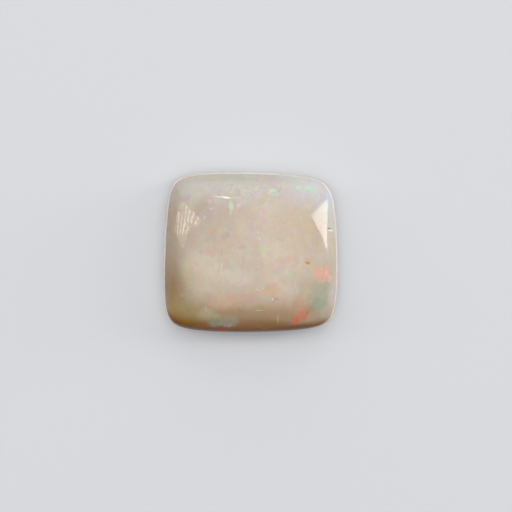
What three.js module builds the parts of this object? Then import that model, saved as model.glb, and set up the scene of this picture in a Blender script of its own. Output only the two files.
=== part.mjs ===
// A cushion-cut opal cabochon: one polished stone that lies on its flat back, crown up.
// X runs across the stone, Y up its face and Z from the back to the crown.
// The origin is the middle of the back. All sizes are in millimetres.
import * as THREE from "three";

// Driving dimensions
const WIDTH = 12.0; // across the face
const LENGTH = 11.0; // up the face
const HEIGHT = 3.6; // from the flat back to the crown
const GIRDLE_TOP = 1.5; // where the side would meet the dome if their edge were sharp
const GIRDLE_LEAN = 0.15; // how far the side leans in between the bevel and GIRDLE_TOP
const LOWER_STEEPNESS = 0.85; // the share of that lean that the middle of the -Y side lacks
const BEVEL_HEIGHT = 0.32; // the bevel ground round the back
const BEVEL_WIDTH = 0.38;
const SHOULDER_ROUND = 0.2; // how far the rounding of the shoulder reaches each way
const OVAL_SHARE = 0.52; // how much of the dome's fall is an oval bowl's, at mid-side
const EDGE_POWER = 7; // how late the rest of the fall comes, which follows the girdle

// The girdle seen from above is a closed B-spline: a point for the middle of each side
// and two for each corner, counter-clockwise from the right-hand side. The cut is
// uneven, and it is fitted to WIDTH and LENGTH.
const GIRDLE_POINTS = [
  [6.05, 0.05],
  [5.8, 4.35],
  [4.55, 5.2],
  [0.25, 5.55],
  [-4.8, 5.45],
  [-5.7, 4.4],
  [-6.0, -0.2],
  [-6.0, -4.2],
  [-5.1, -5.35],
  [0.45, -5.5],
  [4.6, -5.2],
  [5.95, -4.6],
].map(([x, y]) => new THREE.Vector2(x, y));

// How finely the solid is faceted
const STEPS_PER_POINT = 8; // along the girdle, between two of its points
const DOME_RINGS = 14;
const SHOULDER_RINGS = 4;

const OPAL = { color: 0xd2c1ae, roughness: 0.12, metalness: 0.0 };

// The point at t along the girdle, where t counts the B-spline's points.
function onGirdle(t) {
  const count = GIRDLE_POINTS.length;
  const first = Math.floor(t);
  const u = t - first;
  const weights = [
    (1 - u) ** 3,
    3 * u ** 3 - 6 * u ** 2 + 4,
    -3 * u ** 3 + 3 * u ** 2 + 3 * u + 1,
    u ** 3,
  ];
  const place = new THREE.Vector2();
  weights.forEach((weight, k) => {
    const point = GIRDLE_POINTS[(first + k - 1 + count) % count];
    place.addScaledVector(point, weight / 6);
  });
  return place;
}

// The girdle's points, WIDTH by LENGTH and centred on the Z axis.
function girdle() {
  const count = GIRDLE_POINTS.length * STEPS_PER_POINT;
  const points = Array.from({ length: count }, (_, k) =>
    onGirdle(k / STEPS_PER_POINT),
  );
  const box = new THREE.Box2().setFromPoints(points);
  const middle = box.getCenter(new THREE.Vector2());
  const fit = new THREE.Vector2(WIDTH, LENGTH).divide(
    box.getSize(new THREE.Vector2()),
  );
  return points.map((point) => point.sub(middle).multiply(fit));
}

// The dome's height at r of the way out from the crown to the sharp edge. fullness is 1
// where the girdle is only as wide as an oval, and more towards a corner.
function domeHeight(r, fullness) {
  const oval = OVAL_SHARE * fullness ** 2;
  const fall = oval * r ** 2 + (1 - oval) * r ** EDGE_POWER;
  return HEIGHT - (HEIGHT - GIRDLE_TOP) * fall;
}

// How far the side leans in at a point of the girdle.
function leanAt(point) {
  const lowness = Math.max(0, -point.y / point.length());
  return GIRDLE_LEAN * (1 - LOWER_STEEPNESS * lowness ** 2);
}

// The upright section from just below the crown down to the edge of the back, as
// distances from the axis and heights, for a girdle that is girdleDistance away.
function section(girdleDistance, lean, fullness) {
  const sharpEdge = new THREE.Vector2(girdleDistance - lean, GIRDLE_TOP);
  const bevelTop = new THREE.Vector2(girdleDistance, BEVEL_HEIGHT);
  const backEdge = new THREE.Vector2(girdleDistance - BEVEL_WIDTH, 0);

  const lastR = 1 - SHOULDER_ROUND / sharpEdge.x;
  const dome = Array.from({ length: DOME_RINGS }, (_, k) => {
    const r = (lastR * (k + 1)) / DOME_RINGS;
    return new THREE.Vector2(sharpEdge.x * r, domeHeight(r, fullness));
  });
  const downSide = bevelTop.clone().sub(sharpEdge).setLength(SHOULDER_ROUND);
  const shoulder = new THREE.QuadraticBezierCurve(
    dome.at(-1),
    sharpEdge,
    sharpEdge.clone().add(downSide),
  );
  return [
    ...dome,
    ...shoulder.getPoints(SHOULDER_RINGS).slice(1),
    bevelTop,
    backEdge,
  ];
}

// The closed stone: the crown's point, a ring of points for each height, and the middle
// of the back.
function cabochon() {
  const points = girdle();
  const around = points.length;
  const sections = points.map((point) => {
    const fullness = 2 * Math.hypot(point.x / WIDTH, point.y / LENGTH);
    return section(point.length(), leanAt(point), fullness);
  });
  const rings = sections[0].length;

  const positions = [0, 0, HEIGHT];
  for (let ring = 0; ring < rings; ring++) {
    points.forEach((point, k) => {
      const { x: distance, y: height } = sections[k][ring];
      const outward = point.clone().setLength(distance);
      positions.push(outward.x, outward.y, height);
    });
  }
  positions.push(0, 0, 0);

  const crown = 0;
  const back = positions.length / 3 - 1;
  const at = (ring, k) => 1 + ring * around + (k % around);
  const faces = [];
  for (let k = 0; k < around; k++) {
    faces.push(crown, at(0, k), at(0, k + 1));
    for (let ring = 1; ring < rings; ring++) {
      const [a, b] = [at(ring - 1, k), at(ring - 1, k + 1)];
      const [c, d] = [at(ring, k), at(ring, k + 1)];
      faces.push(a, c, d, a, d, b);
    }
    faces.push(back, at(rings - 1, k + 1), at(rings - 1, k));
  }

  const geometry = new THREE.BufferGeometry();
  geometry.setAttribute(
    "position",
    new THREE.Float32BufferAttribute(positions, 3),
  );
  geometry.setIndex(faces);
  geometry.computeVertexNormals();
  return geometry;
}

const stone = new THREE.Mesh(cabochon(), new THREE.MeshStandardMaterial(OPAL));
stone.name = "opal_cabochon";

const part = new THREE.Group();
part.add(stone);

export default part;
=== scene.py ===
"""A cushion-cut white opal cabochon: its fine surface, its stone and the studio round it."""

import math
from collections import namedtuple

import bpy
import numpy as np
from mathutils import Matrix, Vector, noise


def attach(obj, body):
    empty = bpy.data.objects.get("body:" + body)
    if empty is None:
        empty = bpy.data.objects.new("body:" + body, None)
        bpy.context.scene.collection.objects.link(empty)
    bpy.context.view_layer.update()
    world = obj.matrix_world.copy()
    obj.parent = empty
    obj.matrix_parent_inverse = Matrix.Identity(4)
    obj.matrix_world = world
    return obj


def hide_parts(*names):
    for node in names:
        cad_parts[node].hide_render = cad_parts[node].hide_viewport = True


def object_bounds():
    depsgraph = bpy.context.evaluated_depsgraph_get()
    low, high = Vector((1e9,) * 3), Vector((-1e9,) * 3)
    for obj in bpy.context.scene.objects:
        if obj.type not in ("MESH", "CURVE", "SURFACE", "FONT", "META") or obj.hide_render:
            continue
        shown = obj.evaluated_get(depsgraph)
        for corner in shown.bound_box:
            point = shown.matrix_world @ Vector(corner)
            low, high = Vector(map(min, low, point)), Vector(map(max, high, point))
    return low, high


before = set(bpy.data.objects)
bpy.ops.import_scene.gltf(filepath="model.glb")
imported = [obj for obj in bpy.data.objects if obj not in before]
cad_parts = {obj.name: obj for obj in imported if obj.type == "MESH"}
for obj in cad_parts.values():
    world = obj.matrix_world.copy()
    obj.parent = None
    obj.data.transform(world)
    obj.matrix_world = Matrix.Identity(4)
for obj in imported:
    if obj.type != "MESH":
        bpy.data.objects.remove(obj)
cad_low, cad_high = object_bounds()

MM = 0.001

# The stone's form, in millimetres, as its solid has it
WIDTH, LENGTH, HEIGHT = [side / MM for side in cad_high - cad_low]
GIRDLE_TOP = 1.5  # where the side would meet the dome if their edge were sharp
GIRDLE_LEAN = 0.15
LOWER_STEEPNESS = 0.85  # the share of that lean that the middle of the lower side lacks
BEVEL_HEIGHT = 0.32
BEVEL_WIDTH = 0.38
SHOULDER_ROUND = 0.2
OVAL_SHARE = 0.52
EDGE_POWER = 7
GIRDLE_POINTS = np.array([
    [6.05, 0.05],
    [5.8, 4.35],
    [4.55, 5.2],
    [0.25, 5.55],
    [-4.8, 5.45],
    [-5.7, 4.4],
    [-6.0, -0.2],
    [-6.0, -4.2],
    [-5.1, -5.35],
    [0.45, -5.5],
    [4.6, -5.2],
    [5.95, -4.6],
])

# How finely the stone is meshed
DOME_RINGS = 126  # squares of vertices, one inside the other, from the crown outwards
AROUND = 8 * DOME_RINGS
SHOULDER_STEPS = 8
SIDE_STEPS = 6
ROUND_STEPS = 4
EDGE_ROUND = 0.05  # how far the worn edges of the bevel are rounded

# The unevenness of a stone ground and polished by hand, in millimetres
POLISH_WAVE = 1.6  # the width of a wave
POLISH_DEPTH = 0.002
NICK_WIDTH = 0.45  # small chips along the edges of the back
NICK_DEPTH = 0.09
NICK_THRESHOLD = 0.25  # the noise above which there is a nick, where 1 is its peak

Pit = namedtuple("Pit", "at radius depth")
PITS = [
    Pit((0.50, -2.48), 0.07, 0.024),
    Pit((0.78, -2.50), 0.07, 0.022),
    Pit((0.64, -2.64), 0.07, 0.026),
    Pit((0.50, -2.80), 0.06, 0.020),
    Pit((0.79, -2.80), 0.07, 0.022),
    Pit((1.52, -3.22), 0.07, 0.024),
    Pit((3.86, -0.68), 0.16, 0.022),
    Pit((3.98, -0.74), 0.11, 0.016),
    Pit((5.38, 1.56), 0.11, 0.040),
    Pit((5.50, 1.55), 0.12, 0.050),
    Pit((5.62, 1.54), 0.10, 0.040),
]


def srgb(red, green, blue):
    """The linear colour of three values from 0 to 255."""
    def linear(value):
        share = value / 255
        return share / 12.92 if share <= 0.04045 else ((share + 0.055) / 1.055) ** 2.4
    return (linear(red), linear(green), linear(blue), 1.0)


# The form

def on_spline(t):
    """Points of the girdle's closed B-spline, where t counts its control points."""
    first = np.floor(t).astype(int)
    u = t - first
    weights = [
        (1 - u) ** 3,
        3 * u ** 3 - 6 * u ** 2 + 4,
        -3 * u ** 3 + 3 * u ** 2 + 3 * u + 1,
        u ** 3,
    ]
    count = len(GIRDLE_POINTS)
    return sum(
        weight[:, None] / 6 * GIRDLE_POINTS[(first + k - 1) % count]
        for k, weight in enumerate(weights)
    )


ONCE_AROUND = np.arange(AROUND) * len(GIRDLE_POINTS) / AROUND


def on_girdle(t):
    """Points of the spline, fitted to the solid's width and length."""
    outline = on_spline(ONCE_AROUND)
    low, high = outline.min(axis=0), outline.max(axis=0)
    return (on_spline(t) - (low + high) / 2) * np.array([WIDTH, LENGTH]) / (high - low)


def fullness(girdle):
    """1 where the girdle is only as wide as an oval, and more towards a corner."""
    return 2 * np.hypot(girdle[:, 0] / WIDTH, girdle[:, 1] / LENGTH)


def lean_at(girdle):
    """How far the side leans in at each point of the girdle."""
    lowness = np.maximum(0, -girdle[:, 1]) / np.linalg.norm(girdle, axis=1)
    return GIRDLE_LEAN * (1 - LOWER_STEEPNESS * lowness ** 2)


def dome_height(r, full):
    """The dome's height at r of the way from the crown to the sharp edge."""
    oval = OVAL_SHARE * full ** 2
    fall = oval * r ** 2 + (1 - oval) * r ** EDGE_POWER
    return HEIGHT - (HEIGHT - GIRDLE_TOP) * fall


def rounding(start, corner, end, steps):
    """Points of the curve that rounds a corner, after its start."""
    return [
        (1 - u) ** 2 * start + 2 * u * (1 - u) * corner + u ** 2 * end
        for u in np.arange(1, steps + 1) / steps
    ]


def towards(start, end, distance):
    """The points that far from each start on the way to its end."""
    way = end - start
    return start + way * distance / np.linalg.norm(way, axis=1, keepdims=True)


def side_rings(reach, lean, full):
    """The rings from the dome's last down to the back, as distances and heights."""
    def ring(distance, height):
        return np.column_stack([distance, np.broadcast_to(height, distance.shape)])

    last_r = 1 - SHOULDER_ROUND / reach
    dome_end = ring(reach * last_r, dome_height(last_r, full))
    sharp_edge = ring(reach, GIRDLE_TOP)
    bevel_top = ring(reach + lean, BEVEL_HEIGHT)
    back_edge = ring(reach + lean - BEVEL_WIDTH, 0.0)
    back_inside = ring(reach + lean - BEVEL_WIDTH - 2 * EDGE_ROUND, 0.0)

    side_start = towards(sharp_edge, bevel_top, SHOULDER_ROUND)
    side_end = towards(bevel_top, sharp_edge, EDGE_ROUND)
    bevel_start = towards(bevel_top, back_edge, EDGE_ROUND)
    bevel_end = towards(back_edge, bevel_top, EDGE_ROUND)
    back_start = towards(back_edge, back_inside, EDGE_ROUND)
    side = [
        side_start + (side_end - side_start) * k / SIDE_STEPS
        for k in range(1, SIDE_STEPS + 1)
    ]
    return [
        *rounding(dome_end, sharp_edge, side_start, SHOULDER_STEPS),
        *side,
        *rounding(side_end, bevel_top, bevel_start, ROUND_STEPS),
        bevel_end,
        *rounding(bevel_end, back_edge, back_start, ROUND_STEPS),
    ]


def dome_grid():
    """For a grid of vertices, how far out each ring is and where each vertex is on it."""
    steps = np.arange(-DOME_RINGS, DOME_RINGS + 1)
    i, j = np.meshgrid(steps, steps, indexing="ij")
    ring = np.maximum(abs(i), abs(j))
    place = np.where(
        (i == ring) & (j < ring), j,
        np.where(
            (j == ring) & (i > -ring), 2 * ring - i,
            np.where((i == -ring) & (j > -ring), 4 * ring - j, 6 * ring + i),
        ),
    )
    return ring, place % np.maximum(8 * ring, 1)


def stone_surface():
    """The stone's vertices, faces and how far out each vertex is.

    That is 0 at the crown, 1 at the dome's end and 2 in the middle of the back.
    """
    ring, place = dome_grid()
    share = (ring / DOME_RINGS).ravel()
    t = (place / np.maximum(8 * ring, 1) * len(GIRDLE_POINTS)).ravel()
    edge = on_girdle(t)
    distance = np.linalg.norm(edge, axis=1)
    reach = distance - lean_at(edge)
    r = share * (1 - SHOULDER_ROUND / reach)
    dome = np.column_stack([
        edge * (reach * r / distance)[:, None],
        dome_height(r, fullness(edge)),
    ])
    size = 2 * DOME_RINGS + 1
    number = np.arange(size * size).reshape(size, size)
    dome_faces = np.stack(
        [number[:-1, :-1], number[1:, :-1], number[1:, 1:], number[:-1, 1:]], axis=-1
    )
    faces = dome_faces.reshape(-1, 4).tolist()

    # The grid's outermost square, in the order of the girdle's points
    last = np.zeros(AROUND, int)
    on_edge = ring == DOME_RINGS
    last[place[on_edge]] = number[on_edge]

    girdle = on_girdle(ONCE_AROUND)
    girdle_distance = np.linalg.norm(girdle, axis=1)
    outward = girdle / girdle_distance[:, None]
    lean = lean_at(girdle)
    rings = side_rings(girdle_distance - lean, lean, fullness(girdle))
    vertices = [dome]
    for k, points in enumerate(rings):
        vertices.append(np.column_stack([outward * points[:, :1], points[:, 1]]))
        now = len(dome) + k * AROUND + np.arange(AROUND)
        band = np.stack([last, now, np.roll(now, -1), np.roll(last, -1)], axis=1)
        faces += band.tolist()
        last = now
    vertices.append(np.zeros((1, 3)))
    centre = len(dome) + len(rings) * AROUND
    faces += [[a, centre, b] for a, b in zip(last.tolist(), np.roll(last, -1).tolist())]

    ring_places = np.repeat(1 + np.arange(1, len(rings) + 1) / (len(rings) + 1), AROUND)
    return np.concatenate(vertices), faces, np.concatenate([share, ring_places, [2.0]])


def unevenness(points):
    """How far each point of the surface lies below its plain form."""
    waves = np.array([noise.noise(Vector(point) / POLISH_WAVE) for point in points])
    depth = (1 - waves) * POLISH_DEPTH
    crown_side = points[:, 2] > GIRDLE_TOP / 2
    for pit in PITS:
        apart = np.hypot(points[:, 0] - pit.at[0], points[:, 1] - pit.at[1]) / pit.radius
        bowl = np.clip(1 - apart ** 2, 0, 1) ** 2
        depth += np.where(crown_side, bowl * pit.depth, 0)

    # Nicks come where the bevel meets the side and the back
    near_edge = points[:, 2] < 1.5 * BEVEL_HEIGHT
    from_axis = np.hypot(points[:, 0], points[:, 1])
    near_edge &= from_axis > LENGTH / 2 - 2 * BEVEL_WIDTH
    chance = np.array([
        noise.noise(Vector(point) / NICK_WIDTH) if near else 0.0
        for point, near in zip(points, near_edge)
    ])
    depth += np.clip(chance - NICK_THRESHOLD, 0, None) * NICK_DEPTH
    return depth


def make_stone():
    points, faces, outward = stone_surface()
    mesh = bpy.data.meshes.new("opal_stone")
    mesh.from_pydata(points * MM, [], faces)
    mesh.update()

    normals = np.zeros(len(points) * 3)
    mesh.vertices.foreach_get("normal", normals)
    normals = normals.reshape(-1, 3)
    on_back = points[:, 2] < EDGE_ROUND / 2
    depth = np.where(on_back, 0, unevenness(points))
    moved = points - normals * depth[:, None]
    mesh.vertices.foreach_set("co", (moved * MM).ravel())
    mesh.polygons.foreach_set("use_smooth", np.ones(len(mesh.polygons), bool))
    attribute = mesh.attributes.new("outward", "FLOAT", "POINT")
    attribute.data.foreach_set("value", outward)
    mesh.update()

    stone = bpy.data.objects.new("opal_stone", mesh)
    bpy.context.scene.collection.objects.link(stone)
    return stone


# Materials

class Nodes:
    """A node tree that is written as calls, each of which returns an output."""

    def __init__(self, tree):
        self.tree = tree
        tree.nodes.clear()

    def add(self, kind, inputs=None, output=0, **settings):
        node = self.tree.nodes.new(kind)
        for name, value in settings.items():
            setattr(node, name, value)
        for name, value in (inputs or {}).items():
            self.set(node.inputs[name], value)
        return node.outputs[output] if len(node.outputs) else node

    def set(self, socket, value):
        if isinstance(value, bpy.types.NodeSocket):
            self.tree.links.new(value, socket)
        else:
            socket.default_value = value

    def math(self, operation, a, b=0.0, c=0.0):
        return self.add("ShaderNodeMath", {0: a, 1: b, 2: c}, operation=operation)

    def vector(self, operation, a, b=(0, 0, 0)):
        output = "Value" if operation == "DOT_PRODUCT" else "Vector"
        return self.add("ShaderNodeVectorMath", {0: a, 1: b}, output, operation=operation)

    def axes(self, vector, names):
        """The parts of a vector that are named, such as XY."""
        return [
            self.add("ShaderNodeSeparateXYZ", {0: vector}, name) for name in names
        ]

    def scaled(self, vector, scale):
        return self.add(
            "ShaderNodeVectorMath", {0: vector, "Scale": scale}, operation="SCALE"
        )

    # A Mix node has sockets of the same names for numbers, vectors and colours, so its
    # sockets are given by their places here

    def mix(self, share, a, b, blend="MIX", label=""):
        """Colour a, going over into b as share goes from 0 to 1."""
        return self.add(
            "ShaderNodeMix",
            {0: share, 6: a, 7: b},
            output=2,
            data_type="RGBA",
            blend_type=blend,
            label=label,
        )

    def between(self, share, a, b):
        """Number a, going over into b as share goes from 0 to 1."""
        return self.add("ShaderNodeMix", {0: share, 2: a, 3: b}, data_type="FLOAT")

    def span(self, value, low, high, to_low=0.0, to_high=1.0):
        """value, spread smoothly from low to high onto to_low to to_high."""
        return self.add(
            "ShaderNodeMapRange",
            {
                "Value": value,
                "From Min": low,
                "From Max": high,
                "To Min": to_low,
                "To Max": to_high,
            },
            interpolation_type="SMOOTHSTEP",
        )

    def product(self, *factors):
        result = factors[0]
        for factor in factors[1:]:
            result = self.math("MULTIPLY", result, factor)
        return result

    def noise(self, place, per_mm, detail=2.0, roughness=0.5, output="Fac"):
        return self.add(
            "ShaderNodeTexNoise",
            {"Vector": place, "Scale": per_mm, "Detail": detail, "Roughness": roughness},
            output,
        )

    def cells(self, place, per_mm, smoothness=0.5):
        """The random colours of cells that run softly into each other."""
        return self.add(
            "ShaderNodeTexVoronoi",
            {"Vector": place, "Scale": per_mm, "Smoothness": smoothness},
            "Color",
            feature="SMOOTH_F1",
        )


def new_material(name):
    material = bpy.data.materials.new(name)
    material.use_nodes = True
    return material, Nodes(material.node_tree)


# A mark is an ellipse on the face: half-sizes in millimetres, turn in degrees
Mark = namedtuple("Mark", "name at size turn colour strength")

GREEN = srgb(178, 222, 186)
MINT = srgb(196, 214, 190)
PALE_GREEN = srgb(186, 186, 154)
GREY_GREEN = srgb(152, 156, 120)
TEAL = srgb(148, 162, 140)
YELLOW_GREEN = srgb(196, 204, 146)
STRAW = srgb(200, 182, 148)
BLUE = srgb(196, 204, 224)
VIOLET = srgb(196, 170, 192)
LAVENDER = srgb(204, 188, 200)
MAUVE = srgb(178, 160, 152)
RED = srgb(240, 92, 62)
ORANGE = srgb(214, 112, 78)
SALMON = srgb(226, 168, 146)
PEACH = srgb(208, 170, 140)
PINK = srgb(202, 172, 158)
RUST = srgb(198, 126, 76)
BROWN = srgb(146, 112, 84)
OLIVE = srgb(146, 134, 98)
CREAM = srgb(232, 206, 176)
IVORY = srgb(250, 244, 230)

# Soft clouds of colour in the depth of the stone
CLOUDS = [
    Mark("peach_right", (2.30, -0.61), (0.90, 0.50), 0, PEACH, 0.45),
    Mark("pink_right", (3.18, -0.55), (0.42, 0.60), 0, PINK, 0.80),
    Mark("pale_green_right", (2.85, -1.50), (0.34, 0.60), 0, PALE_GREEN, 0.60),
    Mark("orange_low", (1.51, -2.52), (0.66, 0.52), 8, PEACH, 0.75),
    Mark("salmon_band", (-1.27, -3.41), (2.20, 0.72), 2, PEACH, 0.50),
    Mark("pink_band", (-2.78, 0.04), (0.95, 0.38), 0, PINK, 0.70),
    Mark("orange_left", (-2.68, 1.46), (0.45, 0.36), 0, PEACH, 0.70),
    Mark("pink_high_left", (-3.10, 2.90), (0.95, 1.20), 0, MAUVE, 0.50),
    Mark("pink_high_middle", (-1.60, 2.70), (0.90, 1.10), 0, MAUVE, 0.25),
    Mark("mauve_smudge", (-1.68, 1.05), (0.46, 0.36), 0, MAUVE, 0.50),
    Mark("straw_middle", (-1.01, 1.12), (0.40, 0.30), 0, STRAW, 0.70),
    Mark("straw_right", (1.30, -0.92), (0.42, 0.40), 0, STRAW, 0.30),
    Mark("straw_high", (0.84, 3.55), (0.38, 0.38), 0, STRAW, 0.55),
    Mark("grey_green_left", (-2.50, -0.73), (0.75, 0.55), 0, PALE_GREEN, 0.15),
    Mark("grey_green_middle", (-0.25, 0.05), (0.50, 0.50), 0, PALE_GREEN, 0.25),
    Mark("lavender_wisps", (-0.58, 0.30), (0.50, 0.26), 0, MAUVE, 0.35),
    Mark("pale_middle", (-1.20, -1.70), (1.90, 0.80), 0, srgb(216, 202, 188), 0.45),
    Mark("teal_side", (4.95, -3.00), (1.15, 1.40), 0, srgb(166, 174, 152), 0.70),
    Mark("teal_core", (4.54, -3.52), (0.60, 0.56), 0, TEAL, 0.60),
    Mark("green_low_right", (4.05, -3.88), (0.42, 0.36), 0, GREY_GREEN, 0.80),
    Mark("pink_column", (3.36, -3.60), (0.50, 0.90), 0, srgb(204, 150, 126), 0.45),
    Mark("low_grey_green", (-2.85, -4.32), (1.10, 0.60), -8, srgb(182, 176, 140), 0.75),
    Mark("blue_left_edge", (-4.68, -2.94), (0.32, 0.30), 0, MAUVE, 0.35),
    Mark("olive_left_edge", (-4.73, -3.35), (0.40, 0.30), 0, OLIVE, 0.25),
    Mark("grey_right_edge", (5.62, -2.80), (0.46, 1.70), -8, srgb(198, 188, 178), 0.80),
    Mark("grey_low_corner", (5.10, -4.10), (0.50, 0.60), 0, srgb(182, 170, 156), 0.50),
    Mark("blue_corner", (5.32, 3.64), (0.34, 0.60), 20, BLUE, 0.60),
    Mark("blue_under_green", (3.75, 3.95), (0.50, 0.34), 0, LAVENDER, 0.50),
]

# Flashes of colour with broken outlines, and painted shade at the pits and the chip, with a
# painted highlight on the chip
FLASHES = [
    Mark("teal_low_left", (-2.35, -4.86), (0.70, 0.34), 0, srgb(148, 150, 136), 0.80),
    Mark("blue_low_left", (-1.45, -4.72), (0.90, 0.46), 0, srgb(162, 156, 134), 0.80),
    Mark("teal_low", (-1.60, -4.90), (0.42, 0.26), 0, srgb(150, 146, 138), 0.80),
    Mark("mauve_low", (0.60, -4.90), (0.46, 0.30), 0, BROWN, 0.30),
    Mark("salmon_left_lobe", (4.58, -1.48), (0.39, 0.58), 8, SALMON, 0.75),
    Mark("salmon_right_lobe", (5.12, -1.34), (0.38, 0.64), -8, SALMON, 0.80),
    Mark("salmon_core", (5.16, -1.44), (0.14, 0.26), 0, srgb(240, 190, 166), 0.50),
    Mark("salmon_fringe", (4.86, -1.95), (0.44, 0.16), 0, srgb(214, 176, 154), 0.85),
    Mark("salmon_tail", (5.42, -1.73), (0.26, 0.22), -30, srgb(228, 180, 164), 0.85),
    Mark("salmon_drop", (5.39, -2.00), (0.20, 0.18), 0, srgb(212, 180, 168), 0.85),
    Mark("salmon_field", (3.45, -4.36), (0.62, 0.46), 12, ORANGE, 0.50),
    Mark("red_foot", (2.95, -4.72), (0.40, 0.30), 20, ORANGE, 0.45),
    Mark("red_glow", (3.17, -4.60), (0.28, 0.32), 0, ORANGE, 0.60),
    Mark("red_core", (3.17, -4.70), (0.15, 0.18), 0, RED, 0.90),
    Mark("orange_arm", (3.86, -4.16), (0.17, 0.36), -8, ORANGE, 0.60),
    Mark("orange_arm_top", (3.70, -3.83), (0.10, 0.28), 24, ORANGE, 0.40),
    Mark("orange_arm_foot", (3.72, -4.52), (0.16, 0.24), -20, ORANGE, 0.40),
    Mark("rust_halo", (3.88, -0.60), (0.36, 0.32), -20, PEACH, 0.50),
    Mark("rust_spot", (3.90, -0.74), (0.20, 0.12), -22, RUST, 0.95),
    Mark("violet_right", (3.94, 0.03), (0.24, 0.18), 0, VIOLET, 0.60),
    Mark("green_bright", (3.98, 4.40), (0.38, 0.19), 0, GREEN, 0.80),
    Mark("green_small", (3.26, 4.40), (0.24, 0.15), 0, MINT, 0.80),
    Mark("green_below", (3.58, 4.17), (0.24, 0.09), 0, MINT, 0.40),
    Mark("blue_below_green", (3.74, 4.05), (0.14, 0.12), 0, BLUE, 0.45),
    Mark("violet_high", (-2.75, 3.45), (0.20, 0.22), 0, LAVENDER, 0.70),
    Mark("violet_under", (-2.66, 2.97), (0.22, 0.12), 0, LAVENDER, 0.70),
    Mark("green_streak", (-1.31, 3.12), (0.19, 0.52), 4, MINT, 0.90),
    Mark("blue_drop", (-1.38, 2.66), (0.12, 0.14), 0, BLUE, 0.40),
    Mark("green_drop", (-1.36, 2.50), (0.12, 0.10), 0, YELLOW_GREEN, 0.30),
    Mark("blue_high", (-0.80, 3.20), (0.20, 0.18), -20, BLUE, 0.60),
    Mark("mint_high", (-0.50, 3.10), (0.14, 0.14), 0, STRAW, 0.45),
    Mark("lavender_high", (0.35, 3.69), (0.28, 0.16), 0, LAVENDER, 0.65),
    Mark("orange_high", (1.15, 3.75), (0.18, 0.15), 0, PEACH, 0.45),
    Mark("pink_high", (1.26, 3.42), (0.18, 0.18), 0, PINK, 0.35),
    Mark("mint_band", (1.48, 4.18), (0.26, 0.15), 0, MINT, 0.70),
    Mark("mauve_dash", (1.96, 4.19), (0.10, 0.09), 0, MAUVE, 0.60),
    Mark("ivory_high", (-0.53, 3.99), (0.24, 0.16), 0, IVORY, 0.15),
    Mark("blue_left", (-3.13, 2.37), (0.14, 0.20), 0, BLUE, 0.35),
    Mark("yellow_fleck", (-4.48, 1.85), (0.11, 0.24), -18, YELLOW_GREEN, 0.60),
    Mark("yellow_fleck_foot", (-4.50, 1.48), (0.11, 0.22), 12, YELLOW_GREEN, 0.65),
    Mark("lavender_dot", (0.10, 1.24), (0.24, 0.22), 0, LAVENDER, 0.60),
    Mark("blue_dot", (0.52, 1.31), (0.12, 0.11), 0, BLUE, 0.35),
    Mark("ivory_dot", (0.62, 0.90), (0.11, 0.09), 0, IVORY, 0.40),
    Mark("green_right_dot", (2.68, -1.31), (0.15, 0.13), 0, PALE_GREEN, 0.60),
    Mark("violet_low", (1.20, -3.21), (0.22, 0.14), 0, VIOLET, 0.55),
    Mark("white_dot", (1.48, -3.20), (0.07, 0.10), 0, IVORY, 0.60),
    Mark("dark_dot", (1.76, -3.22), (0.20, 0.12), 0, OLIVE, 0.45),
    Mark("grey_dot", (4.14, -3.36), (0.14, 0.13), 0, LAVENDER, 0.25),
    Mark("blue_edge", (-1.36, -4.98), (0.11, 0.11), 0, srgb(172, 156, 176), 0.80),
    Mark("olive_dot", (-1.41, -4.74), (0.14, 0.09), 0, OLIVE, 0.50),
    Mark("red_edge", (-1.86, -5.30), (0.44, 0.16), 0, srgb(150, 40, 0), 0.85),
    Mark("orange_edge", (4.31, -4.88), (0.24, 0.12), 0, srgb(196, 126, 60), 0.40),
    Mark("orange_left_edge", (-5.43, -4.17), (0.14, 0.16), 0, ORANGE, 0.20),
    # Painted shade round the pits
    Mark("pit_shade", (0.64, -2.64), (0.30, 0.34), 0, PEACH, 0.35),
    Mark("pit_pale_left", (0.44, -2.54), (0.08, 0.06), 0, CREAM, 0.45),
    Mark("pit_pale_right", (0.80, -2.46), (0.09, 0.06), 0, CREAM, 0.75),
    Mark("pit_pale_middle", (0.62, -2.60), (0.10, 0.07), 30, CREAM, 0.65),
    Mark("pit_pale_low", (0.66, -2.88), (0.08, 0.06), 0, CREAM, 0.40),
    # Painted shade and a painted highlight on the chip at the right edge
    Mark("chip_shade", (5.37, 1.60), (0.17, 0.09), 0, BROWN, 0.65),
    Mark("chip_light", (5.50, 1.48), (0.22, 0.08), 0, IVORY, 0.85),
]

# Hairline cracks, veins and scratches, and a painted highlight along a hairline near the top
HAIRLINES = [
    # Painted highlight: a bright glint along a hairline near the top edge
    Mark("painted_glint", (-2.15, 3.76), (0.50, 0.060), -5, IVORY, 0.45),
    Mark("painted_glint_middle", (-1.66, 3.70), (0.46, 0.095), -7, IVORY, 1.00),
    Mark("painted_glint_end", (-1.10, 3.70), (0.50, 0.040), 3, IVORY, 0.25),
    Mark("left_vein_high", (-1.97, 0.02), (0.050, 0.36), 3, BROWN, 0.25),
    Mark("left_vein_low", (-1.96, -1.03), (0.060, 0.60), 0, IVORY, 0.24),
    Mark("middle_curve", (-0.46, -0.42), (0.050, 0.38), 12, MAUVE, 0.45),
    Mark("right_crack", (3.12, -2.50), (0.050, 0.62), 8, IVORY, 0.13),
    Mark("level_crack", (0.63, -3.97), (0.45, 0.045), 0, IVORY, 0.25),
    Mark("level_scratch", (2.55, -2.44), (0.95, 0.030), 0, IVORY, 0.07),
    Mark("low_vein", (1.87, -4.55), (0.055, 0.45), 0, IVORY, 0.22),
    Mark("low_left_vein", (-3.06, -3.86), (0.050, 0.30), 0, PEACH, 0.70),
    Mark("edge_vein", (0.80, -5.20), (0.60, 0.060), -14, PEACH, 0.10),
]


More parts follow.
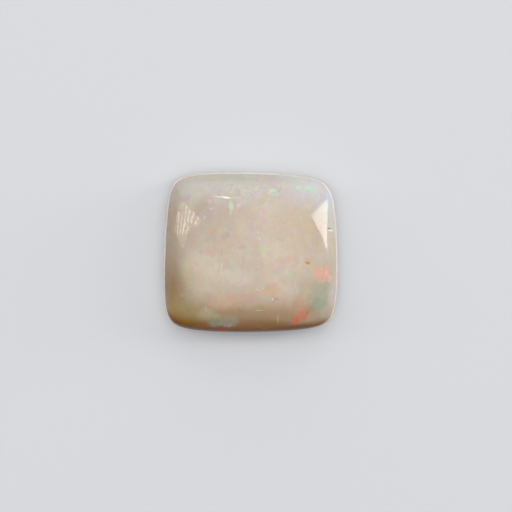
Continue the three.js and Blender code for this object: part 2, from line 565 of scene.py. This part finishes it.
def with_marks(nodes, colour, place, ragged, marks, softness):
    """colour with each mark laid over it.

    ragged, a number about 0, moves the outlines in and out. softness is the share of a
    mark's size over which it fades out.
    """
    for mark in marks:
        turn = math.radians(mark.turn)
        along = Vector((math.cos(turn), math.sin(turn), 0)) / mark.size[0]
        across = Vector((-math.sin(turn), math.cos(turn), 0)) / mark.size[1]
        from_centre = nodes.vector("SUBTRACT", place, (*mark.at, 0))
        away = ragged
        for axis in (along, across):
            share = nodes.vector("DOT_PRODUCT", from_centre, axis)
            away = nodes.math("MULTIPLY_ADD", share, share, away)
        inside = nodes.span(away, (1 - softness) ** 2, 1, mark.strength, 0)
        colour = nodes.mix(inside, colour, mark.colour, label=mark.name)
    return colour


def with_tints_and_painted_shade(nodes, colour, place, outward):
    """colour, made cooler at the top, browner to the left and warmer below, partly as the
    stone's own tint and partly as painted light.
    """
    x, y = nodes.axes(place, "XY")
    # Painted shade darkens the sides, the lower part and the top edge; the cooler top is
    # partly a painted reflection of the top window
    tints_and_painted_light = [
        ("upper left", [(x, 1.0, -3.4), (y, -0.8, 1.0)], srgb(184, 166, 150), 0.45),
        ("top", [(y, 2.4, 4.4)], srgb(196, 191, 183), 0.75),
        ("top edge", [(outward, 0.91, 0.97), (y, 3.6, 4.6)], srgb(182, 172, 158), 0.4),
        ("left", [(x, -4.2, -5.9), (y, 6.4, 2.0)], srgb(152, 132, 108), 0.75),
        ("lower left side", [(x, -3.5, -5.4), (y, 1.0, -3.0)], srgb(138, 106, 66), 0.8),
        ("right", [(x, 4.3, 5.4), (y, 2.6, -0.4)], srgb(188, 178, 164), 0.5),
        ("low", [(y, -2.4, -4.4)], srgb(166, 132, 94), 0.8),
        ("lower left", [(x, -1.0, -4.6), (y, -1.5, -4.6)], srgb(160, 142, 98), 0.7),
        ("lower right", [(x, 2.4, 4.2), (y, -1.2, -2.6)], srgb(180, 162, 136), 0.7),
    ]
    for name, limits, tint, strength in tints_and_painted_light:
        spans = [nodes.span(value, start, full) for value, start, full in limits]
        colour = nodes.mix(nodes.product(*spans, strength), colour, tint, label=name)
    # A lighter, cooler upper right corner: a painted reflection on that shoulder
    towards_corner = nodes.vector("DOT_PRODUCT", place, (0.7, 0.7, 0))
    corner = nodes.span(towards_corner, 4.2, 6.4, 0, 0.7)
    return nodes.mix(corner, colour, srgb(206, 208, 208))


def with_shaded_amber_edge(nodes, colour, place, outward):
    """colour with the amber band, which keeps nearer to the lower edge at the right. The
    band is partly the stone's amber and partly painted shade.
    """
    x, y = nodes.axes(place, "XY")
    band_top = nodes.span(x, 2, 5, -3.7, -4.3)
    band_full = nodes.span(x, 2, 5, -5.0, -5.3)
    band = nodes.span(y, band_top, band_full)
    band_start = nodes.span(x, 1.0, 3.5, 0.80, 0.93)
    near_edge = nodes.product(nodes.span(outward, band_start, 1.0), band)
    colour = nodes.mix(near_edge, colour, srgb(134, 88, 8))
    # Darkest right at the lower edge, partly as painted shade
    at_edge = nodes.product(nodes.span(outward, 0.96, 1.04), band)
    return nodes.mix(at_edge, colour, srgb(110, 62, 0))


def crown_colour(nodes, place, outward):
    """The polished face: milky cream with its tints and painted shade, clouds, flashes and
    cracks.
    """
    milk = nodes.noise(place, 0.32, detail=3)
    colour = nodes.mix(
        nodes.span(milk, 0.35, 0.65), srgb(197, 181, 161), srgb(207, 193, 173)
    )
    warm = nodes.noise(nodes.vector("ADD", place, (9, 4, 2)), 0.45, detail=2)
    colour = nodes.mix(nodes.span(warm, 0.45, 0.75, 0, 0.35), colour, srgb(203, 177, 151))
    colour = with_tints_and_painted_shade(nodes, colour, place, outward)

    # The marks' places are bent and their outlines broken by noise
    waves = nodes.noise(place, 1.6, detail=3, output="Color")
    bend = nodes.vector("SUBTRACT", waves, (0.5, 0.5, 0.5))
    cloud_place = nodes.vector("ADD", place, nodes.scaled(bend, 0.8))
    flash_place = nodes.vector("ADD", place, nodes.scaled(bend, 0.16))
    grain = nodes.math("SUBTRACT", nodes.noise(place, 5, detail=4), 0.5)
    cloud_ragged, flash_ragged, line_ragged = [
        nodes.math("MULTIPLY", grain, amount) for amount in (0.6, 1.4, 1.2)
    ]
    colour = with_marks(nodes, colour, cloud_place, cloud_ragged, CLOUDS, 1.0)
    colour = with_shaded_amber_edge(nodes, colour, place, outward)
    colour = with_marks(nodes, colour, flash_place, flash_ragged, FLASHES, 1.0)
    return with_marks(nodes, colour, flash_place, line_ragged, HAIRLINES, 0.8)


def with_pinfire(nodes, colour, place):
    """colour with the faint pastel cells that fill the whole stone."""
    bend = nodes.scaled(nodes.noise(place, 2.2, 2, output="Color"), 0.25)
    bent = nodes.vector("ADD", place, bend)
    region = nodes.noise(nodes.vector("ADD", place, (3, 7, 5)), 0.6, 2)
    colour = nodes.mix(
        nodes.span(region, 0.3, 0.7, 0.03, 0.08), colour, nodes.cells(bent, 2.4), "OVERLAY"
    )

    # The finest cells are strongest in a band below the top edge
    x, y = nodes.axes(place, "XY")
    flecked = nodes.product(
        nodes.span(y, 3.7, 4.0),
        nodes.span(y, 4.8, 4.5),
        nodes.span(x, -2.4, -1.4),
        nodes.span(x, 3.0, 1.8),
    )
    fine = nodes.between(flecked, nodes.span(region, 0.3, 0.7, 0.05, 0.02), 0.11)
    return nodes.mix(fine, colour, nodes.cells(bent, 6.5), "OVERLAY")


# The opal's surface and glow, with lengths in millimetres
POLISH_END = 1.42  # the height where the polish starts to give way to the ground side
GROUND_START = 1.30  # the height where it has ended
POLISHED_ROUGHNESS = (0.02, 0.05)
GROUND_ROUGHNESS = 0.45
LOW_SIDE_ROUGHNESS = 0.85
RELIEF_DEPTH = 0.0006
GROUND_RELIEF = 4.0  # how many times the polished face's relief the ground surfaces have
OPAL_IOR = 1.45
GLOW_SHARE = 0.4  # the share of the light that spreads inside the stone
GLOW_DEPTH = 0.45


def side_colour(nodes, place, stained_and_shaded):
    """The ground side: frosted white in layers, with specks, and dark brown below, partly a
    stain and partly painted shade.
    """
    layers = nodes.noise(nodes.vector("MULTIPLY", place, (0.5, 0.5, 3.0)), 1.0, 4)
    layered = nodes.span(layers, 0.35, 0.7)
    colour = nodes.mix(layered, srgb(236, 228, 224), srgb(214, 200, 186))
    specks = nodes.noise(place, 3.5, 5, 0.7)
    colour = nodes.mix(
        nodes.span(specks, 0.56, 0.74, 0, 0.6), colour, srgb(176, 152, 124)
    )
    # The lower side's brown: partly a stain, partly painted shade
    stain_and_shade = nodes.mix(layered, srgb(120, 76, 4), srgb(98, 58, 0))
    return nodes.mix(stained_and_shaded, colour, stain_and_shade)


def back_colour(nodes, place, lines):
    """The back: grey-beige in patches, with the grinding wheel's lines."""
    patches = nodes.noise(nodes.vector("ADD", place, (5, 1, 8)), 0.5, 4, 0.6)
    colour = nodes.mix(
        nodes.span(patches, 0.4, 0.66), srgb(204, 192, 176), srgb(170, 155, 134)
    )
    return nodes.mix(nodes.span(lines, 0.5, 0.75, 0, 0.4), colour, srgb(140, 124, 104))


def opal_material():
    material, nodes = new_material("white_opal")
    place = nodes.scaled(nodes.add("ShaderNodeTexCoord", output="Object"), 1 / MM)
    x, y, z = nodes.axes(place, "XYZ")
    outward = nodes.add(
        "ShaderNodeAttribute",
        output="Fac",
        attribute_name="outward",
        attribute_type="GEOMETRY",
    )
    ground = nodes.span(z, POLISH_END, GROUND_START)
    # Where the lower side is dark brown, partly a stain and partly painted shade
    stained_and_shaded = nodes.span(y, nodes.span(x, -4.0, 4.0, -4.4, -4.9), -5.25)
    lines = nodes.noise(nodes.vector("MULTIPLY", place, (1.2, 22, 1.2)), 1.0, 2)
    fine = nodes.noise(place, 14, 3, 0.6)

    colour = crown_colour(nodes, place, outward)
    colour = nodes.mix(ground, colour, side_colour(nodes, place, stained_and_shaded))
    on_back = nodes.span(z, BEVEL_HEIGHT - 0.02, 0.05)
    colour = nodes.mix(on_back, colour, back_colour(nodes, place, lines))
    colour = with_pinfire(nodes, colour, place)

    roughness = nodes.between(
        ground,
        nodes.span(fine, 0.35, 0.7, *POLISHED_ROUGHNESS),
        nodes.between(stained_and_shaded, GROUND_ROUGHNESS, LOW_SIDE_ROUGHNESS),
    )
    ground_height = nodes.math("MULTIPLY", nodes.math("ADD", fine, lines), GROUND_RELIEF)
    height = nodes.between(ground, nodes.noise(place, 2.5, 2), ground_height)
    bump = nodes.add(
        "ShaderNodeBump",
        {"Strength": 1.0, "Distance": RELIEF_DEPTH * MM, "Height": height},
    )
    shader = nodes.add(
        "ShaderNodeBsdfPrincipled",
        {
            "Base Color": colour,
            "Roughness": roughness,
            "IOR": OPAL_IOR,
            "Normal": bump,
            "Subsurface Weight": GLOW_SHARE,
            "Subsurface Radius": (1.0, 0.65, 0.4),
            "Subsurface Scale": GLOW_DEPTH * MM,
        },
    )
    nodes.add("ShaderNodeOutputMaterial", {"Surface": shader})
    return material


def floor_material():
    material, nodes = new_material("pale_floor")
    shader = nodes.add(
        "ShaderNodeBsdfPrincipled",
        {"Base Color": srgb(212, 213, 215), "Roughness": 0.7, "Specular IOR Level": 0.2},
    )
    nodes.add("ShaderNodeOutputMaterial", {"Surface": shader})
    return material


# The studio

FLOOR_SIZE = 3.0
HORIZON_LIGHT = 0.3
ZENITH_LIGHT = 1.55
PANEL_DISTANCE = 0.35  # metres from the stone
SLAT_DISTANCE = 0.27
SLATS_PER_ROW = 4
SLAT_SPAN = (0.35, 0.65)  # where a slat starts and ends in its share of the row


def towards_sky(azimuth, elevation):
    """A direction from the stone: azimuth in degrees from +X, elevation above the floor."""
    a, e = math.radians(azimuth), math.radians(elevation)
    return Vector((math.cos(a) * math.cos(e), math.sin(a) * math.cos(e), math.sin(e)))


def panel(
    name, corners, colour, strength, distance=PANEL_DISTANCE, fade_line=None, fade=0.0
):
    """A light panel whose corners are seen from the stone in these directions.

    Its light may fade out across a line between two directions, over that many degrees.
    The light is on the line's left-hand side.
    """
    mesh = bpy.data.meshes.new(name)
    points = [towards_sky(*corner) * distance for corner in corners]
    mesh.from_pydata(points, [], [list(range(len(points)))])
    material, nodes = new_material(name)
    if fade_line:
        start, end = [towards_sky(*corner) for corner in fade_line]
        place = nodes.add("ShaderNodeTexCoord", output="Object")
        direction = nodes.vector("NORMALIZE", place)
        share = nodes.vector("DOT_PRODUCT", direction, start.cross(end).normalized())
        reach = math.sin(math.radians(fade / 2))
        strength = nodes.span(share, -reach, reach, strength, 0)
    glow = nodes.add("ShaderNodeEmission", {"Color": colour, "Strength": strength})
    nodes.add("ShaderNodeOutputMaterial", {"Surface": glow})
    mesh.materials.append(material)
    light = bpy.data.objects.new(name, mesh)
    light.visible_camera = False
    bpy.context.scene.collection.objects.link(light)


def between(a, b, share):
    """The direction that lies that share of the way from a to b."""
    return tuple(p + (q - p) * share for p, q in zip(a, b))


def make_floor():
    mesh = bpy.data.meshes.new("floor")
    half = FLOOR_SIZE / 2
    corners = [(-half, -half, 0), (half, -half, 0), (half, half, 0), (-half, half, 0)]
    mesh.from_pydata(corners, [], [[0, 1, 2, 3]])
    mesh.materials.append(floor_material())
    floor = bpy.data.objects.new("floor", mesh)
    bpy.context.scene.collection.objects.link(floor)


def make_right_softbox():
    """A leaning triangle over the horizon."""
    panel(
        "right_softbox",
        [(32, 44), (24.6, 41.3), (11.3, 29), (6.1, 18), (2.5, 8.6), (0.9, 1), (28, 1)],
        colour=(1.0, 1.0, 0.99, 1),
        strength=7.7,
        fade_line=[(24.8, 41), (19.6, 2)],
        fade=6,
    )


def make_left_window():
    """A window that bright slats cross in front of, in two rows."""
    low, tip, notch = (173.5, 1), (177.6, 28.4), (164.2, 42.8)
    foot, high, shoulder, far = (154.9, 54.8), (146.7, 55.2), (150.7, 39.7), (155, 24.4)
    middle = between(tip, far, 0.5)
    warm_white = (1.0, 0.97, 0.93, 1)
    outline = [low, tip, notch, foot, high, shoulder, far]
    panel("left_window", outline, warm_white, strength=2.4)

    # A row's corners: below its start and end, then above its end and start
    rows = [
        (between(low, tip, 0.2), between(tip, notch, 0.6), notch, between(low, far, 0.4)),
        (middle, between(notch, foot, 0.8), high, between(far, shoulder, 0.4)),
    ]
    for row, (below_start, below_end, above_end, above_start) in enumerate(rows):
        for k in range(SLATS_PER_ROW):
            start, end = [(k + edge) / SLATS_PER_ROW for edge in SLAT_SPAN]
            corners = [
                between(below_start, below_end, start),
                between(below_start, below_end, end),
                between(above_start, above_end, end),
                between(above_start, above_end, start),
            ]
            name = f"left_slat_{row}_{k}"
            panel(name, corners, warm_white, strength=8.0, distance=SLAT_DISTANCE)


def make_top_window():
    """The broad window behind the top of the stone."""
    panel(
        "top_window",
        [(45, 1), (50, 30), (70, 37), (90, 38.5), (110, 37), (130, 30), (135, 1)],
        colour=(0.92, 0.98, 1.0, 1),
        strength=1.1,
    )


def make_world():
    """A light tent, darker towards the horizon."""
    world = bpy.data.worlds.new("studio")
    world.use_nodes = True
    nodes = Nodes(world.node_tree)
    direction = nodes.add("ShaderNodeTexCoord", output="Generated")
    (up,) = nodes.axes(direction, "Z")
    strength = nodes.span(up, 0.5, 1.0, HORIZON_LIGHT, ZENITH_LIGHT)
    glow = nodes.add(
        "ShaderNodeBackground", {"Color": (0.97, 0.98, 1, 1), "Strength": strength}
    )
    nodes.add("ShaderNodeOutputWorld", {"Surface": glow})
    bpy.context.scene.world = world
    bpy.context.scene.view_settings.view_transform = "Standard"


# The photograph is 512 pixels square, and its centre is (256, 256)
PIXELS = 512
STONE_PIXELS = 174.6  # the stone's width in it
STONE_CENTRE = (250.5, 252.05)
CAMERA_HEIGHT = 0.3
SENSOR = 36.0


def make_camera():
    """Straight over the stone, as the photograph sees its face."""
    pixel = WIDTH * MM / STONE_PIXELS
    x = (PIXELS / 2 - STONE_CENTRE[0]) * pixel
    y = (STONE_CENTRE[1] - PIXELS / 2) * pixel
    data = bpy.data.cameras.new("camera")
    data.sensor_width = SENSOR
    data.lens = SENSOR * CAMERA_HEIGHT / (PIXELS * pixel)
    camera = bpy.data.objects.new("camera", data)
    camera.location = (x, y, CAMERA_HEIGHT + BEVEL_HEIGHT * MM)
    bpy.context.scene.collection.objects.link(camera)
    bpy.context.scene.camera = camera


make_camera()
make_floor()
make_right_softbox()
make_left_window()
make_top_window()
make_world()
stone = make_stone()
stone.data.materials.append(opal_material())
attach(stone, "root")
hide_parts("opal_cabochon")
